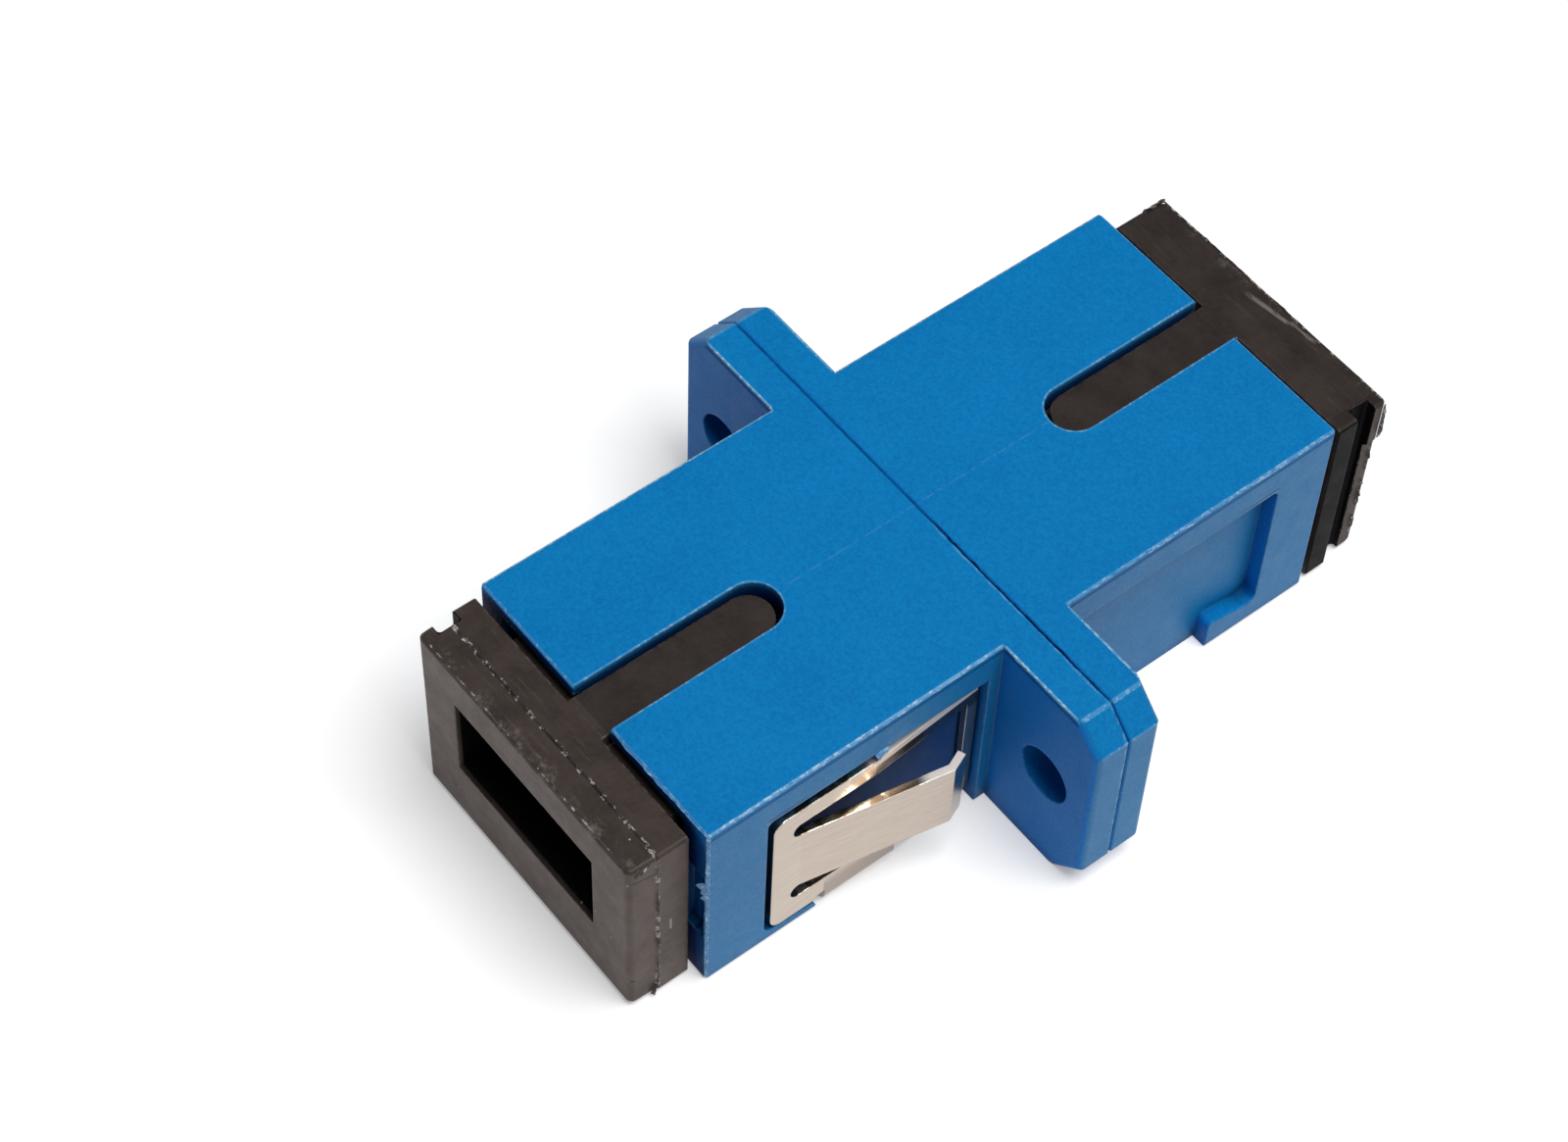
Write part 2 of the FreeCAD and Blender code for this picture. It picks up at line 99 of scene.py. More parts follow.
class Nodes:
    """Adds nodes to one tree. Wherever a value is wanted, a number or a socket will do."""

    def __init__(self, tree):
        self.tree = tree

    def feed(self, socket, value):
        if isinstance(value, bpy.types.NodeSocket):
            self.tree.links.new(value, socket)
        else:
            socket.default_value = value

    def node(self, kind, props=None, **inputs):
        """Adds a node. An input is given by its name, with _ for a space, or as i0, i1."""
        made = self.tree.nodes.new(kind)
        for key, value in (props or {}).items():
            setattr(made, key, value)
        for key, value in inputs.items():
            numbered = key[0] == "i" and key[1:].isdigit()
            self.feed(made.inputs[int(key[1:]) if numbered else key.replace("_", " ")], value)
        return made

    def maths(self, operation, first, second=0.0, third=0.0, clamp=False):
        return self.node("ShaderNodeMath", {"operation": operation, "use_clamp": clamp},
                         i0=first, i1=second, i2=third).outputs[0]

    def blend(self, factor, first, second):
        """The first colour at a factor of 0, the second at 1."""
        mix = self.node("ShaderNodeMix", {"data_type": "RGBA"})
        for number, value in ((0, factor), (6, first), (7, second)):
            self.feed(mix.inputs[number], value)
        return mix.outputs[2]

    def product(self, *factors):
        result = factors[0]
        for factor in factors[1:]:
            result = self.maths("MULTIPLY", result, factor)
        return result

    def largest(self, *values):
        result = values[0]
        for value in values[1:]:
            result = self.maths("MAXIMUM", result, value)
        return result

    def absolute(self, value):
        return self.maths("ABSOLUTE", value)

    def length(self, first, second):
        """The length of a line that goes this far in two directions."""
        squares = self.product(first, first), self.product(second, second)
        return self.maths("SQRT", self.maths("ADD", *squares))

    def span(self, value, low, high, start=0.0, end=1.0, smooth=True):
        """A value carried from low..high to start..end, held at both ends."""
        kind = {"interpolation_type": "SMOOTHSTEP" if smooth else "LINEAR"}
        made = self.node("ShaderNodeMapRange", kind, Value=value, From_Min=low, From_Max=high,
                         To_Min=start, To_Max=end)
        return made.outputs["Result"]

    def close_to(self, value, target, width, soft=0.03):
        """1 within a width of a target, falling to 0 just outside it."""
        away = self.absolute(self.maths("SUBTRACT", value, target))
        return self.span(away, width, width + soft, 1.0, 0.0)

    def beyond(self, value, limit, soft=0.03):
        return self.span(value, limit, limit + soft)

    def short_of(self, value, limit, soft=0.03):
        return self.span(value, limit - soft, limit, 1.0, 0.0)


class Surface(Nodes):
    """A material that is painted coat over coat. Its places are on the object and in
    millimetres, so they hold in every pose."""

    EDGE_SAMPLES = 8
    BEVEL_SAMPLES = 6

    def __init__(self, name):
        self.material = bpy.data.materials.new(name)
        self.material.use_nodes = True
        super().__init__(self.material.node_tree)
        self.shader = self.tree.nodes["Principled BSDF"]
        coords = self.node("ShaderNodeTexCoord").outputs["Object"]
        self.where = self.node("ShaderNodeVectorMath", {"operation": "SCALE"},
                               i0=coords, Scale=1000.0).outputs[0]
        self.colour = None

    @cached_property
    def axes(self):
        return self.node("ShaderNodeSeparateXYZ", Vector=self.where).outputs

    @cached_property
    def x(self):
        return self.axes[0]

    @cached_property
    def y(self):
        return self.axes[1]

    @cached_property
    def z(self):
        return self.axes[2]

    @cached_property
    def across(self):
        """How far a place is from the adapter's middle plane, the same on both sides."""
        return self.absolute(self.x)

    @cached_property
    def along(self):
        """How far a place is from the weld, the same on both halves."""
        return self.absolute(self.y)

    @cached_property
    def facing(self):
        """The three parts of the flat face's own normal."""
        normal = self.node("ShaderNodeNewGeometry").outputs["True Normal"]
        return self.node("ShaderNodeSeparateXYZ", Vector=normal).outputs

    def speckle(self, scale, detail=3.0, rough=0.55, squeeze=None):
        """Noise between 0 and 1. A squeeze below 1 draws it out along that axis."""
        where = self.where
        if squeeze:
            where = self.node("ShaderNodeVectorMath", {"operation": "MULTIPLY"},
                              i0=where, i1=squeeze).outputs[0]
        return self.node("ShaderNodeTexNoise", Vector=where, Scale=scale, Detail=detail,
                         Roughness=rough).outputs[0]

    def specks(self, scale, radius, share):
        """Scattered small specks of uneven size, on a share of a random pattern's cells."""
        cells = self.node("ShaderNodeTexVoronoi", {"feature": "F1"}, Vector=self.where,
                          Scale=scale, Randomness=1.0)
        chance = self.node("ShaderNodeSeparateColor", Color=cells.outputs["Color"])
        size = self.maths("MULTIPLY", chance.outputs[1], radius * scale)
        there = self.maths("LESS_THAN", cells.outputs["Distance"], size)
        return self.product(there, self.maths("LESS_THAN", chance.outputs[0], share))

    def closed_in(self, distance, **props):
        """How much of what lies around a place is covered within a distance."""
        props["samples"] = self.EDGE_SAMPLES
        free = self.node("ShaderNodeAmbientOcclusion", props, Distance=distance * MM)
        return self.maths("SUBTRACT", 1.0, free.outputs["AO"], clamp=True)

    def outer_edge(self, distance):
        """About a half on the outer edges of a solid, falling to 0 at a distance."""
        return self.closed_in(distance, inside=True, only_local=True)

    def corner_shade(self, distance):
        """0 on open faces, rising in inner corners and narrow gaps."""
        return self.closed_in(distance)

    def set(self, socket, value):
        self.feed(self.shader.inputs[socket], value)

    def set_skin(self, radius, height, strength, depth):
        """Rounds the moulded edges, and lays a fine bump over them."""
        rounded = self.node("ShaderNodeBevel", {"samples": self.BEVEL_SAMPLES},
                            Radius=radius * MM).outputs[0]
        self.set("Normal", self.node("ShaderNodeBump", Strength=strength, Distance=depth * MM,
                                     Height=height, Normal=rounded).outputs[0])

    def paint(self, colour, *masks, share=1.0):
        """Lays a coat over the colour so far, as strong as its masks and share multiply to."""
        factors = masks if share == 1.0 else (*masks, share)
        self.colour = self.blend(self.product(*factors), self.colour, colour)

    def finished(self):
        self.set("Base Color", self.colour)
        return self.material


# Blue polyester

def blue_skin(s):
    """Fine grain and satin gloss. Gives the mottling that the colour is made with."""
    cloud = s.speckle(0.22, 4.0)
    grain = s.speckle(7.0, 3.0, 0.8)
    tint = s.maths("MULTIPLY_ADD", grain, 0.78, s.maths("MULTIPLY", cloud, 0.22))
    s.set("Roughness", s.span(s.speckle(1.1, 5.0, 0.7), 0.2, 0.8, 0.38, 0.56, smooth=False))
    s.set_skin(0.12, s.speckle(8.0, 3.0, 0.7), 0.4, 0.014)
    return s.span(tint, 0.32, 0.68)


def paint_facing_shading(s, tint):
    """Painted shading: the long sides, the top and the faces towards -Y, each in its own blue
    as the light falls on it. Gives their gloss.
    """
    up = s.span(s.facing[2], 0.5, 0.8)
    forward = s.span(s.facing[1], -0.8, -0.5, 1.0, 0.0)
    s.colour = s.blend(tint, *SIDE_SHADING_BLUE)
    s.paint(s.blend(tint, *TOP_SHADING_BLUE), up)
    s.paint(s.blend(tint, *END_SHADING_BLUE), forward)
    return s.span(s.largest(up, forward), 0.0, 1.0, 0.27, 0.10)


def paint_shelter(s, occlusion):
    """Deeper navy where little light gets in: the ends and the slots' walls while a cap is in,
    the floor behind the clip and the screw holes. Gives where that is."""
    ends = s.product(s.beyond(s.along, MOUTH - 0.04, 0.02), s.span(occlusion, 0.06, 0.3))
    slot = s.product(s.short_of(s.across, SLOT_HALF + 0.05), s.beyond(s.along, SLOT_END - 0.05),
                     s.short_of(s.z, TOP - 0.12, 0.2), s.beyond(s.z, 6.0),
                     s.span(occlusion, 0.1, 0.4))
    floor = s.product(s.close_to(s.across, RECESS_FLOOR, 0.06), s.short_of(s.y, -FLANGE_HALF),
                      s.short_of(s.z, RECESS_TOP))
    from_hole = s.length(s.maths("SUBTRACT", s.across, HOLE_OUT),
                         s.maths("SUBTRACT", s.z, MIDDLE))
    hole = s.short_of(from_hole, HOLE_RADIUS + 0.03, 0.02)
    s.paint(linear(12, 24, 66), s.largest(ends, slot), share=0.8)
    s.paint(linear(14, 34, 104), floor, share=0.75)
    s.paint(linear(4, 44, 140), hole, share=0.45)
    return s.largest(ends, slot, floor, hole)


def paint_shade_bands(s):
    """Painted shade: the darker band just under the pale line of each top edge. Gives where that
    is.
    """
    body = s.product(s.close_to(s.z, TOP - 0.25, 0.06, 0.05),
                     s.beyond(s.across, SIDE - 0.03, 0.01),
                     s.beyond(s.along, FLANGE_HALF), s.short_of(s.across, SIDE + 0.03))
    flange = s.product(s.close_to(s.z, TOP - 0.2, 0.07, 0.06),
                       s.short_of(s.y, -FLANGE_HALF + 0.03), s.beyond(s.across, SIDE))
    band = s.largest(body, flange)
    s.paint(linear(10, 74, 138), band, share=0.6)
    return band


def worn_and_highlit_lines(s):
    """The worn edges, partly real wear and partly painted highlight, strong along the top of the
    body, on the mouths' sides and along the flange, and weak over the mouths, on the flange's
    bends and round the slots."""
    on_top = s.beyond(s.z, TOP - 0.09)
    at_mouth = s.close_to(s.along, MOUTH, 0.09)
    flange_bend = FLANGE_END - FLANGE_CUT
    body_top = s.product(on_top, s.close_to(s.across, SIDE, 0.1, 0.04),
                         s.beyond(s.along, FLANGE_HALF - 0.05))
    mouth_side = s.product(at_mouth, s.beyond(s.across, SIDE - 0.12))
    flange_top = s.product(s.beyond(s.z, TOP - 0.06), s.close_to(s.along, FLANGE_HALF, 0.07),
                           s.beyond(s.across, SIDE), s.short_of(s.across, flange_bend))
    mouth_top = s.product(at_mouth, on_top, s.short_of(s.across, SIDE + 0.02))
    bend = s.product(s.close_to(s.across, flange_bend, 0.06, 0.05), on_top)
    low_bend = s.product(s.close_to(s.z, TOP - FLANGE_CUT, 0.05, 0.05),
                         s.beyond(s.across, FLANGE_END - 0.05))
    slot_side = s.product(s.close_to(s.across, SLOT_HALF, 0.05), s.beyond(s.along, SLOT_ROUND),
                          on_top)
    from_round = s.length(s.x, s.maths("SUBTRACT", s.along, SLOT_ROUND))
    slot_end = s.product(s.close_to(from_round, SLOT_HALF, 0.05),
                         s.short_of(s.along, SLOT_ROUND), on_top)
    strong = s.largest(body_top, mouth_side, flange_top)
    return strong, s.largest(mouth_top, bend, low_bend, slot_side, slot_end)


def paint_wear_and_highlights(s):
    """Rubbed edges all over, and the worn lines with bright dots in them: partly wear, partly
    painted highlight.
    """
    edge = s.outer_edge(0.18)
    broken = s.speckle(2.6, 4.0, 0.8)
    s.paint(linear(78, 148, 200), s.span(edge, 0.24, 0.42), s.span(broken, 0.36, 0.58),
            share=0.5)
    strong, weak = worn_and_highlit_lines(s)
    wander = s.span(s.speckle(1.3, 3.0, 0.6), 0.3, 0.5, 0.35, 1.0)
    far_half = s.span(s.y, 0.0, 2.0, 1.0, 0.6)
    dots = s.span(s.speckle(5.5, 2.0, 0.5), 0.53, 0.60)
    s.paint(linear(116, 174, 212), strong, wander, far_half, share=0.86)
    s.paint(linear(86, 156, 206), weak, wander, share=0.6)
    s.paint(linear(196, 220, 236), strong, dots, far_half, share=0.65)
    s.paint(linear(176, 208, 230), weak, dots, share=0.35)


def paint_seams(s):
    """The weld's seam round the flange, dark and crisp on the +X half and faint on the other,
    with pale flecks beside it, and the thin mould line along the top."""
    wander = s.span(s.speckle(1.4), 0.3, 0.7, -0.03, 0.03)
    drift = s.maths("SUBTRACT", s.y, wander)
    crisp = s.beyond(s.x, 0.2, 2.0)
    broken = s.span(s.speckle(0.9, 3.0, 0.6), 0.36, 0.5, 0.25, 1.0)
    fading = s.span(s.x, 8.6, 10.6, 1.0, 0.45)
    s.paint(linear(8, 28, 78), s.close_to(drift, -0.02, 0.035),
            s.span(crisp, 0.0, 1.0, 0.3, 1.0), broken, fading)
    flecks = s.span(s.speckle(2.4, 3.0, 0.7), 0.42, 0.6)
    s.paint(linear(92, 164, 212), s.close_to(drift, -0.11, 0.03), flecks, crisp, share=0.6)
    patches = s.span(s.speckle(2.6), 0.42, 0.56)
    s.paint(linear(70, 140, 190), s.beyond(s.z, TOP - 0.05), s.close_to(s.x, -0.05, 0.02),
            s.short_of(s.along, SLOT_END), patches, share=0.4)


def paint_recess_line(s):
    """A painted shadow line and a pale rim of painted highlight at the recesses' top edge, near
    their mouth end.
    """
    reach = s.product(s.beyond(s.along, 8.9, 1.6), s.short_of(s.along, RECESS_MOUTH_END),
                      s.beyond(s.across, SIDE - 0.03))
    s.paint(linear(14, 62, 120), reach, s.close_to(s.z, RECESS_TOP + 0.12, 0.05, 0.05),
            share=0.8)
    s.paint(linear(100, 158, 200), reach, s.close_to(s.z, RECESS_TOP + 0.02, 0.03), share=0.6)


def housing_plastic(name):
    """The housing halves: grained blue in painted shading by facing, with pale edges of wear and
    painted highlight, painted shade in the corners and hollows, the weld's seam and a little
    dust."""
    s = Surface(name)
    gloss = paint_facing_shading(s, blue_skin(s))
    occlusion = s.corner_shade(1.3)
    hidden = paint_shelter(s, occlusion)
    band = paint_shade_bands(s)
    dulled = s.span(s.largest(hidden, band), 0.0, 1.0, 1.0, 0.25)
    s.set("Specular IOR Level", 0.2)     # a plain value under the link, about its mean
    s.set("Specular IOR Level", s.product(gloss, dulled))
    # Painted shade in inner corners and narrow gaps
    s.paint(linear(6, 24, 78), s.span(occlusion, 0.25, 0.8), share=0.7)
    paint_wear_and_highlights(s)
    paint_seams(s)
    paint_recess_line(s)
    s.paint(linear(160, 196, 222), s.specks(0.8, 0.035, 0.22), share=0.55)
    return s.finished()


def insert_plastic(name):
    """The latch inserts: the same plastic, a little deeper and smoother."""
    s = Surface(name)
    s.colour = s.blend(blue_skin(s), *INSERT_BLUE)
    s.set("Specular IOR Level", 0.25)
    # Paler outer edges: partly wear, partly painted highlight on their rounding
    s.paint(linear(84, 150, 204), s.span(s.outer_edge(0.14), 0.24, 0.42),
            s.span(s.speckle(3.0, 4.0, 0.8), 0.4, 0.6), share=0.6)
    return s.finished()


# Black plastic

def cap_painted_shade(s):
    """Painted shade: how dark a cap's surface is painted, fully in the window and the grip's
    groove, partly beside the groove and on the keys in the slots, and more on the far cap."""
    window = s.product(s.short_of(s.across, WINDOW_HALF),
                       s.close_to(s.z, MIDDLE, WINDOW_HALF_HEIGHT),
                       s.short_of(s.along, CAP_FACE - 0.12, 0.1), s.beyond(s.along, MOUTH))
    groove = s.product(s.beyond(s.across, CAP_SIDE_NEAR + 0.02, 0.01),
                       s.close_to(s.along, CAP_GROOVE, CAP_GROOVE_HALF, 0.04))
    seat = s.product(s.beyond(s.across, CAP_SIDE_FAR - 0.06), s.short_of(s.along, CAP_SEAT_END))
    key = s.product(s.short_of(s.across, KEY_HALF), s.short_of(s.along, MOUTH),
                    s.beyond(s.z, 8.0), 0.3)
    on_far = s.beyond(s.y, MOUTH)
    far_plate = s.product(on_far, s.beyond(s.across, CAP_SIDE_NEAR - 0.1), 0.4)
    far_top = s.product(on_far, s.beyond(s.z, CAP_TOP - 0.1), 0.25)
    return s.largest(window, groove, s.product(seat, 0.72), key,
                     s.product(on_far, seat, 0.95), far_plate, far_top)


def paint_cap_marks(s):
    """Marks that one cap alone has: the near one's hurt corner, chip and foot notch, and the
    far one's soft scuffs and dark rim."""
    near_side = s.product(s.beyond(s.x, CAP_SIDE_NEAR - 0.15), s.short_of(s.y, 0.0))
    # The tear slopes down from the front corner towards the parting line
    level = s.maths("ADD", s.z, s.maths("MULTIPLY", s.maths("ADD", s.y, 16.4), 0.22))
    tear = s.product(near_side, s.close_to(level, 7.96, 0.025, 0.035),
                     s.close_to(s.y, -15.98, 0.48))
    notch = s.product(near_side, s.close_to(s.y, -16.5, 0.1), s.close_to(s.z, 1.64, 0.05))
    # The tear and the notch are real damage, drawn as dark lines: painted shade in their gaps
    s.paint((0.004, 0.0035, 0.0032, 1), s.largest(tear, notch), share=0.8)
    chip = s.product(near_side, s.close_to(s.y, -14.93, 0.03, 0.02),
                     s.close_to(s.z, 4.06, 0.3))
    s.paint((0.42, 0.38, 0.35, 1), chip, share=0.7)

    far_top = s.product(s.beyond(s.z, CAP_TOP - 0.1), s.beyond(s.y, MOUTH))
    # The scuffs run a little aslant, in a band along the head's outer edge
    slanted = s.maths("SUBTRACT", s.y, s.maths("MULTIPLY", s.x, 0.13))
    drawn_out = s.span(s.speckle(2.0, 3.0, 0.6, (0.5, 3.0, 1.0)), 0.42, 0.6)
    scuffs = s.product(far_top, s.close_to(slanted, 16.0, 0.05, 0.08),
                       s.close_to(s.x, 1.1, 1.3, 0.5), drawn_out)
    s.paint((0.30, 0.27, 0.25, 1), scuffs, share=0.7)
    s.paint((0.006, 0.005, 0.0045, 1), far_top, s.beyond(s.y, CAP_FACE - 0.14), share=0.7)


def cap_plastic(name):
    """Soft black moulding in painted shading, darker on the tops and brownish on the head's
    upright faces, with painted shade in its dim places; scuffed, with pale flecks of flash along
    the parting line and a few specks of dust."""
    s = Surface(name)
    cloud = s.span(s.speckle(0.6, 5.0, 0.65), 0.3, 0.7)
    on_head = s.beyond(s.along, MOUTH)
    upright = s.product(s.span(s.absolute(s.facing[2]), 0.5, 0.8, 1.0, 0.0), on_head)
    # Painted shading: darker black on the tops, browner on the head's upright faces
    s.colour = s.blend(cloud, *CAP_TOP_SHADING_BLACK)
    s.paint(s.blend(cloud, *CAP_SIDE_SHADING_BLACK), upright)

    streak = s.speckle(1.6, 4.0, 0.75, (0.35, 4.0, 0.7))
    s.paint((0.10, 0.082, 0.072, 1), s.span(streak, 0.56, 0.74),
            s.span(on_head, 0.0, 1.0, 0.15, 0.5))
    s.paint((0.20, 0.175, 0.16, 1), s.beyond(s.along, CAP_FACE - 0.75, 0.5),
            s.span(s.speckle(1.1, 5.0, 0.8), 0.5, 0.68), s.beyond(s.z, CAP_TOP - 0.3),
            share=0.5)
    # Paler outer edges: partly wear, partly painted highlight on their rounding
    s.paint((0.19, 0.165, 0.15, 1), s.span(s.outer_edge(0.16), 0.26, 0.44),
            s.span(s.speckle(3.0, 4.0, 0.8), 0.42, 0.6), share=0.55)
    s.paint((0.56, 0.52, 0.49, 1), s.close_to(s.y, -CAP_PARTING, 0.065),
            s.span(s.speckle(2.8, 4.0, 0.75), 0.52, 0.62), share=0.9)
    s.paint((0.58, 0.55, 0.52, 1), s.specks(1.1, 0.05, 0.3), share=0.7)
    paint_cap_marks(s)
    # Painted shade in the window, the groove and the other dim places
    dark = cap_painted_shade(s)
    s.paint((0.0046, 0.0042, 0.0050, 1), dark)

    s.set("Specular IOR Level", 0.4)     # a plain value under the link, about its mean
    s.set("Specular IOR Level", s.product(s.span(upright, 0.0, 1.0, 0.55, 0.30),
                                          s.span(dark, 0.0, 1.0, 1.0, 0.11)))
    s.set("Specular Tint", (1.0, 0.84, 0.76, 1))
    s.set("Roughness", s.span(s.speckle(1.3, 6.0, 0.75), 0.2, 0.8, 0.36, 0.6, smooth=False))
    s.set_skin(0.12, s.speckle(5.0, 5.0, 0.75), 0.55, 0.022)
    return s.finished()


# Spring steel and ceramic

def spring_steel(name):
    """Stamped stainless strip: satin faces, cut edges in bronze, partly their own tone and
    partly painted shade, with painted glints, painted shade on the rails where they lean into
    the recess and on the bridge, and painted highlights along the rails' tops and on the leaf's
    tip."""
    s = Surface(name)
    brush = s.speckle(2.2, 5.0, 0.7, (1.0, 0.25, 5.0))
    stain = s.span(s.speckle(0.7, 4.0, 0.6), 0.52, 0.72)
    s.colour = s.blend(s.span(brush, 0.3, 0.7), *STEEL)
    s.paint((0.38, 0.31, 0.26, 1), stain, share=0.25)
    # The cut edges: bronze, partly the sheared steel's own tone and partly painted shade, with
    # painted glints in patches
    cut_edge = s.span(s.absolute(s.facing[2]), 0.6, 0.9)
    s.paint((0.30, 0.215, 0.15, 1), cut_edge)
    s.paint((0.98, 0.90, 0.70, 1), cut_edge, s.span(s.speckle(0.9, 3.0, 0.7), 0.44, 0.56))

    # Painted shade on the rails where they lean into the recess
    in_recess = s.short_of(s.across, SIDE + 0.1)
    rail = s.product(s.beyond(s.y, RAIL_FADE, 2.6), s.beyond(s.z, RAIL_LOW, 0.3), in_recess)
    s.paint((0.06, 0.053, 0.05, 1), rail, share=0.7)
    # Painted shade on the bridge, darker towards its bottom
    s.paint((0.22, 0.175, 0.15, 1), s.close_to(s.y, BRIDGE_MIDDLE, BRIDGE_HALF),
            s.span(s.z, 1.1, 1.8, 1.0, 0.0), share=0.65)
    # Painted highlights: a bright line along the rails' tops, on their cut edges, and on the
    # leaf's tip
    rail_top_highlight = s.product(s.beyond(s.y, RAIL_FADE, 1.2), s.beyond(s.z, CLIP_TOP - 0.36, 0.06),
                         in_recess)
    leaf_tip_highlight = s.product(cut_edge, s.beyond(s.across, 6.6, 0.3), s.beyond(s.y, -5.6, 0.7))
    bright = s.largest(s.product(rail, cut_edge), rail_top_highlight, leaf_tip_highlight)
    s.paint((0.90, 0.82, 0.75, 1), bright)
    s.set("Metallic", s.span(bright, 0.0, 1.0, 1.0, 0.25))
    s.set("Roughness", s.span(brush, 0.2, 0.8, 0.14, 0.26, smooth=False))
    s.set_skin(0.05, brush, 0.22, 0.004)
    return s.finished()


def ceramic(name):
    """Ground white zirconia."""
    s = Surface(name)
    ground = s.speckle(3.0, 4.0, 0.6, (1.0, 6.0, 1.0))
    s.colour = s.blend(s.span(ground, 0.3, 0.7), *ZIRCONIA)
    s.set("Roughness", 0.18)
    s.set_skin(0.05, ground, 0.2, 0.003)
    return s.finished()


def flash_plastic(name, dark, pale, low, high):
    """Thin torn flash, paler than the moulding it hangs on."""
    s = Surface(name)
    torn = s.speckle(2.8, 4.0, 0.75)
    s.colour = s.blend(s.span(torn, low, high), dark, pale)
    s.set("Roughness", 0.5)
    s.set("Normal", s.node("ShaderNodeBump", Strength=0.5, Distance=0.02 * MM,
                           Height=torn).outputs[0])
    return s.finished()


housing_blue = housing_plastic("housing_blue")
insert_blue = insert_plastic("insert_blue")
cap_black = cap_plastic("cap_black")
blue_flash = flash_plastic("blue_flash", linear(64, 132, 190), linear(160, 200, 226), 0.45, 0.70)
black_flash = flash_plastic("black_flash", (0.045, 0.036, 0.031, 1), (0.56, 0.52, 0.49, 1),
                            0.52, 0.62)

finishes = {
    "front_housing": housing_blue, "rear_housing": housing_blue,
    "front_latch_insert": insert_blue, "rear_latch_insert": insert_blue,
    "split_sleeve": ceramic("sleeve_ceramic"), "spring_clip": spring_steel("clip_steel"),
    "front_dust_cap": cap_black, "rear_dust_cap": cap_black,
}
for name, material in finishes.items():
    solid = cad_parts[name]
    for slot in solid.material_slots:
        slot.material = material
    if not solid.material_slots:
        solid.data.materials.append(material)


# Flash, burrs and nicks, each a thin ragged ridge on an edge of the mouldings

STEP = 0.1        # from one ring of a ridge to the next
ROOT = 0.03       # how deep a ridge is set into the edge


def ragged(seed, distance, reach, gaps):
    """How far a ridge stands out at a distance along it, 0 where it has broken away."""
    coarse = noise.noise(Vector((distance * 0.9, seed * 7.3, 0)))
    fine = noise.noise(Vector((distance * 4.1, seed * 3.1, 5)))
    return reach * max(0.0, 0.5 + 0.9 * coarse + 0.6 * fine - gaps)


def ridge(finish, name, start, end, outward, sideways, reach, width, seed, gaps):
    """A ragged ridge from start to end in millimetres, of a finish's material and body; the
    finish's slot is not used. It stands out along outward, is width wide along sideways, and
    thins away at both ends."""
    outward, sideways = Vector(outward).normalized(), Vector(sideways).normalized()
    start, end = Vector(start), Vector(end)
    length = (end - start).length
    count = max(6, int(length / STEP))
    mesh = bmesh.new()
    rings = []
    for index in range(count + 1):
        share = index / count
        at = start.lerp(end, share)
        fade = min(1.0, 6 * share, 6 * (1 - share))
        height = fade * ragged(seed, length * share, reach, gaps)
        lean = 0.3 * width * noise.noise(Vector((length * share, seed, 9)) * 2.3)
        half = sideways * (width / 2)
        corners = (at - outward * ROOT - half, at + outward * height + sideways * lean,
                   at - outward * ROOT + half)
        rings.append([mesh.verts.new(corner * MM) for corner in corners])
    for ring, next_ring in zip(rings, rings[1:]):
        for a in range(3):
            b = (a + 1) % 3
            mesh.faces.new((ring[a], ring[b], next_ring[b], next_ring[a]))
    mesh.faces.new(rings[0][::-1])
    mesh.faces.new(rings[-1])
    bmesh.ops.recalc_face_normals(mesh, faces=mesh.faces)
    data = bpy.data.meshes.new(name)
    mesh.to_mesh(data)
    mesh.free()
    material, body, slot = finish
    data.materials.append(material)
    piece = bpy.data.objects.new(name, data)
    bpy.context.scene.collection.objects.link(piece)
    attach(piece, body)


# Each row: name, start, end, outward, sideways, reach, width, seed, gaps
BODY_X, EDGE_Z = SIDE - 0.03, TOP - 0.04
HOUSING_FLASH = [
    ("flash_mouth_side", (BODY_X, -MOUTH, 0.5), (BODY_X, -MOUTH, 8.9),
     (-0.6, -1, 0), ACROSS, 0.09, 0.07, 3, 0.1),
    ("flash_mouth_flap", (BODY_X, -MOUTH, 5.1), (BODY_X, -MOUTH, 6.4),
     (-1, -0.5, 0), (0, -1, 0), 0.42, 0.05, 12, -0.1),
    ("flash_mouth_chip", (BODY_X, -MOUTH, 3.4), (BODY_X, -MOUTH, 4.1),
     (-1, -0.5, 0), (0, -1, 0), 0.22, 0.05, 21, -0.1),
    ("flash_mouth_top", (1.3, -MOUTH, EDGE_Z), (SIDE - 0.1, -MOUTH, EDGE_Z),
     (0, -1, 0), UP, 0.05, 0.06, 5, 0.1),
    ("flash_body_near", (SIDE, -MOUTH + 0.2, EDGE_Z), (SIDE, -FLANGE_HALF - 0.1, EDGE_Z),
     ACROSS, UP, 0.03, 0.06, 7, 0.1),
    ("flash_body_far", (SIDE, FLANGE_HALF + 0.2, EDGE_Z), (SIDE, MOUTH - 0.2, EDGE_Z),
     ACROSS, UP, 0.035, 0.06, 9, 0.2),
    ("flash_flange", (SIDE + 0.1, -FLANGE_HALF, EDGE_Z),
     (FLANGE_END - FLANGE_CUT, -FLANGE_HALF, EDGE_Z), (0, -1, 0), UP, 0.03, 0.06, 11, 0.1),
    ("burr_slot", (SLOT_HALF + 0.03, MOUTH, 8.3), (SLOT_HALF + 0.03, MOUTH, TOP - 0.02),
     (-0.4, 1, 0), ACROSS, 0.2, 0.1, 14, -0.3),
    ("burr_recess", (SIDE - 0.02, -6.9, RECESS_TOP), (SIDE - 0.02, -6.3, RECESS_TOP),
     (0.5, 0, -1), ACROSS, 0.3, 0.12, 17, -0.4),
]

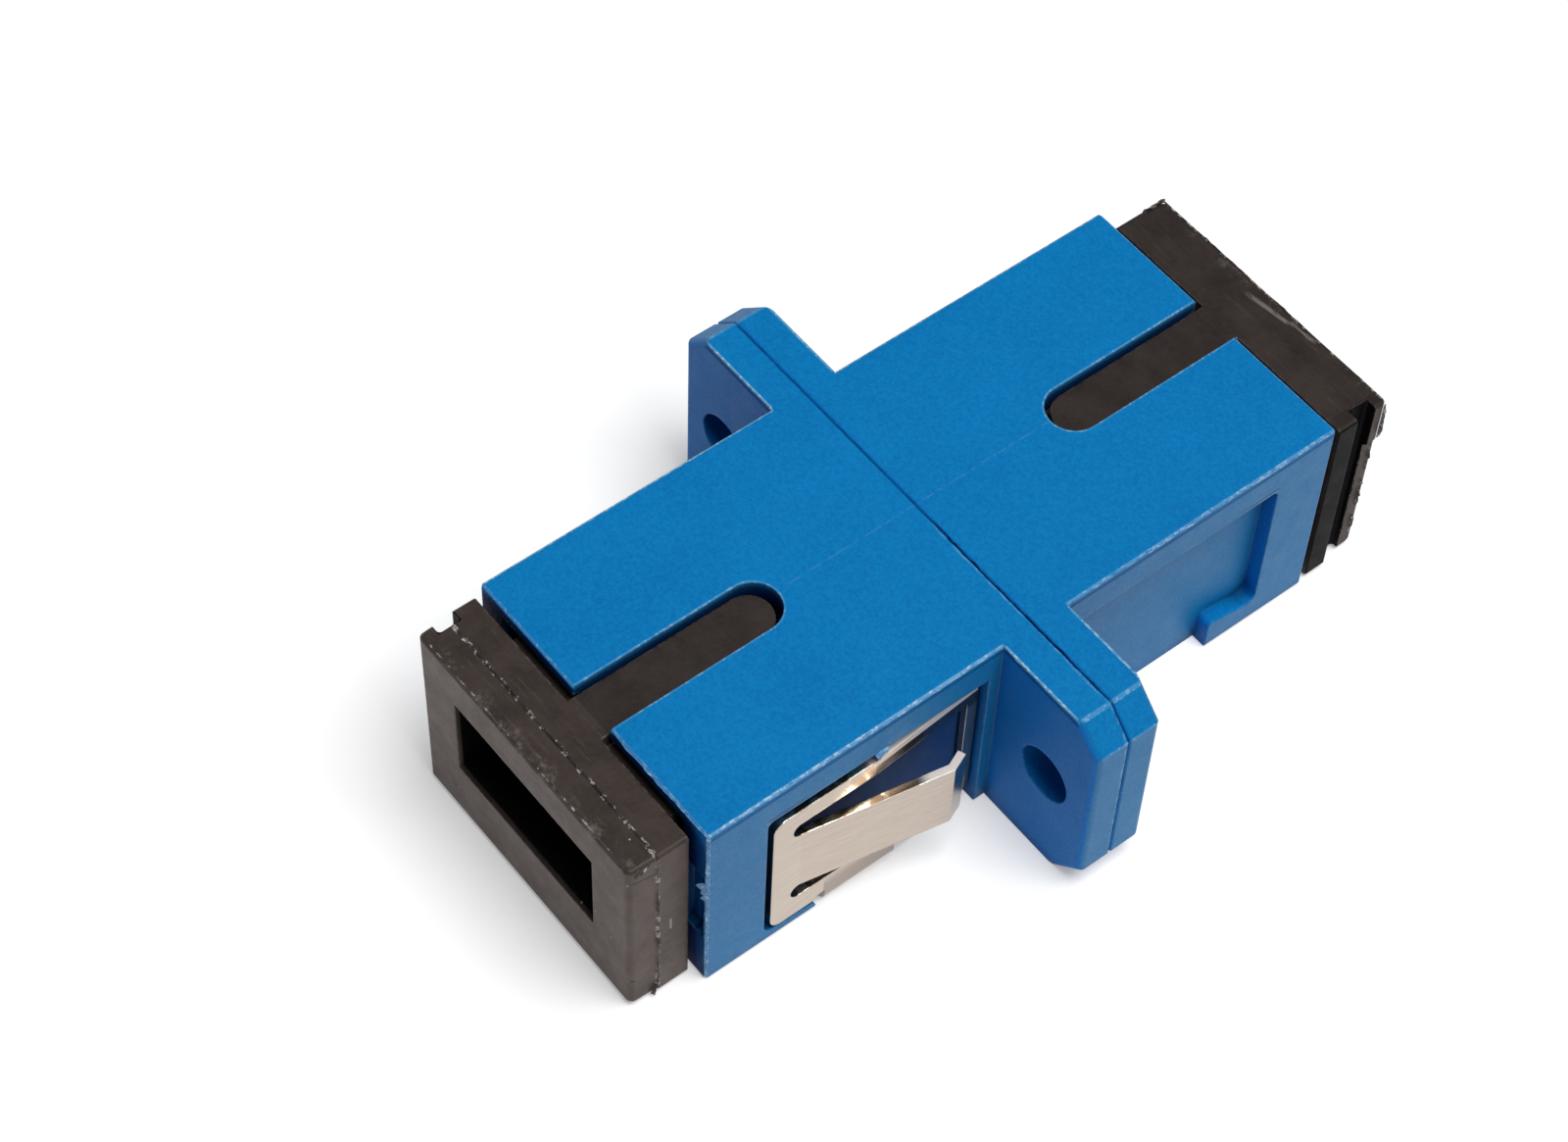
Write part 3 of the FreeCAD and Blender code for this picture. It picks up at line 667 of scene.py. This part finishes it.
NEAR_X, NEAR_Y = CAP_SIDE_NEAR - 0.02, -CAP_PARTING
NEAR_FLASH = [
    ("flash_near_top", (-5.6, NEAR_Y, CAP_TOP - 0.02), (5.6, NEAR_Y, CAP_TOP - 0.02),
     UP, ALONG, 0.14, 0.12, 23, 0.1),
    ("flash_near_side", (NEAR_X, NEAR_Y, 8.6), (NEAR_X, NEAR_Y, 0.3),
     ACROSS, ALONG, 0.13, 0.09, 27, 0.1),
    ("flash_near_foot", (NEAR_X, NEAR_Y - 0.25, 0.15), (NEAR_X, NEAR_Y - 0.05, 0.7),
     (1, -0.2, 0), ALONG, 0.2, 0.12, 31, -0.2),
    ("flash_near_corner", (NEAR_X - 0.1, NEAR_Y - 0.2, 8.6), (NEAR_X, NEAR_Y - 0.9, 8.3),
     (1, 0, 0.3), UP, 0.12, 0.08, 33, -0.1),
    ("flash_near_front", (-5.9, -CAP_FACE + 0.1, CAP_TOP - 0.05),
     (5.3, -CAP_FACE + 0.1, CAP_TOP - 0.05), (0, -0.2, 1), ALONG, 0.06, 0.07, 35, 0.25),
]

FAR_X, RIM_Y = CAP_SIDE_FAR - 0.02, CAP_FACE - 0.12
RIM_X, INNER_Y = FAR_X - 0.25, CAP_FACE - 0.55
FAR_LEFT_X, FAR_LEFT_Z = -CAP_SIDE_NEAR + 0.03, CAP_TOP - 0.1
FAR_FLASH = [
    ("flash_far_left", (FAR_LEFT_X, CAP_PARTING, FAR_LEFT_Z),
     (FAR_LEFT_X, CAP_FACE - 0.02, FAR_LEFT_Z), (-1, 0, 0.1), UP, 0.16, 0.2, 51, -0.2),
    ("flash_far_shoulder", (FAR_X, RIM_Y, 6.7), (FAR_X, RIM_Y, 8.6),
     ACROSS, ALONG, 0.15, 0.12, 41, -0.1),
    ("flash_far_rim", (RIM_X, RIM_Y, 0.4), (RIM_X, RIM_Y, 6.4),
     ACROSS, ALONG, 0.22, 0.14, 43, 0.1),
    ("flash_far_inner", (RIM_X, INNER_Y, 0.4), (RIM_X, INNER_Y, 6.2),
     (1, -0.4, 0), ALONG, 0.12, 0.1, 47, 0.1),
    ("flash_far_top", (-5.6, CAP_FACE - 0.1, CAP_TOP - 0.05),
     (6.0, CAP_FACE - 0.1, CAP_TOP - 0.05), (0, 0.1, 1), ALONG, 0.06, 0.08, 49, 0.2),
]

for row in HOUSING_FLASH:
    ridge((blue_flash, "adapter", "housing"), *row)
for row in NEAR_FLASH:
    ridge((black_flash, "front_cap", "cap"), *row)
for row in FAR_FLASH:
    ridge((black_flash, "rear_cap", "cap"), *row)


# The stage

def stage_floor():
    """A white table top, a little brighter to the camera and in reflections. It lies a
    hundredth of a millimetre low, so that it doesn't share the underside's plane."""
    bpy.ops.mesh.primitive_plane_add(size=1.6, location=(0, 0, -0.01 * MM))
    floor = bpy.context.object
    floor.name = "floor"
    material = bpy.data.materials.new("floor_white")
    material.use_nodes = True
    s = Nodes(material.node_tree)
    shader = s.tree.nodes["Principled BSDF"]
    shader.inputs["Base Color"].default_value = (0.88, 0.88, 0.88, 1)
    shader.inputs["Roughness"].default_value = 0.9
    shader.inputs["Specular IOR Level"].default_value = 0.1
    path = s.node("ShaderNodeLightPath").outputs
    seen = s.largest(path["Is Camera Ray"], path["Is Glossy Ray"], path["Is Transmission Ray"])
    glow = s.node("ShaderNodeEmission", Color=(1, 1, 1, 1), Strength=s.product(seen, 0.3))
    both = s.node("ShaderNodeAddShader", i0=shader.outputs[0], i1=glow.outputs[0])
    s.feed(s.tree.nodes["Material Output"].inputs["Surface"], both.outputs[0])
    floor.data.materials.append(material)


def stage_world():
    """Weak even light from the room, which the camera sees as white."""
    world = bpy.data.worlds.new("room")
    bpy.context.scene.world = world
    world.use_nodes = True
    s = Nodes(world.node_tree)
    background = s.tree.nodes["Background"]
    to_camera = s.node("ShaderNodeLightPath").outputs["Is Camera Ray"]
    s.feed(background.inputs["Color"], s.blend(to_camera, (0.14, 0.14, 0.145, 1), (1, 1, 1, 1)))
    background.inputs["Strength"].default_value = 1.0


def lamp(name, direction, distance, size, power):
    """A square soft light that looks at the object's middle."""
    data = bpy.data.lights.new(name, "AREA")
    data.shape = "SQUARE"
    data.size = size
    data.energy = power
    light = bpy.data.objects.new(name, data)
    target = Vector((0, 0, 4 * MM))
    light.location = target + Vector(direction).normalized() * distance
    light.rotation_euler = (light.location - target).to_track_quat("Z", "Y").to_euler()
    bpy.context.scene.collection.objects.link(light)


def photo_camera():
    """The place that the photograph was taken from, fitted to the object's corners in it."""
    data = bpy.data.cameras.new("photo_camera")
    data.sensor_width = 36.0
    data.lens = 83.0
    data.clip_start = 0.005
    camera = bpy.data.objects.new("photo_camera", data)
    camera.location = (0.05428, -0.051836, 0.108582)
    camera.rotation_euler = Euler([math.radians(a) for a in (35.8453, -1.5327, 51.8482)])
    bpy.context.scene.collection.objects.link(camera)
    bpy.context.scene.camera = camera


stage_floor()
stage_world()
lamp("key", (0.30, 0.10, 0.95), distance=0.5, size=0.30, power=2.25)
photo_camera()
bpy.context.scene.view_settings.view_transform = "Standard"
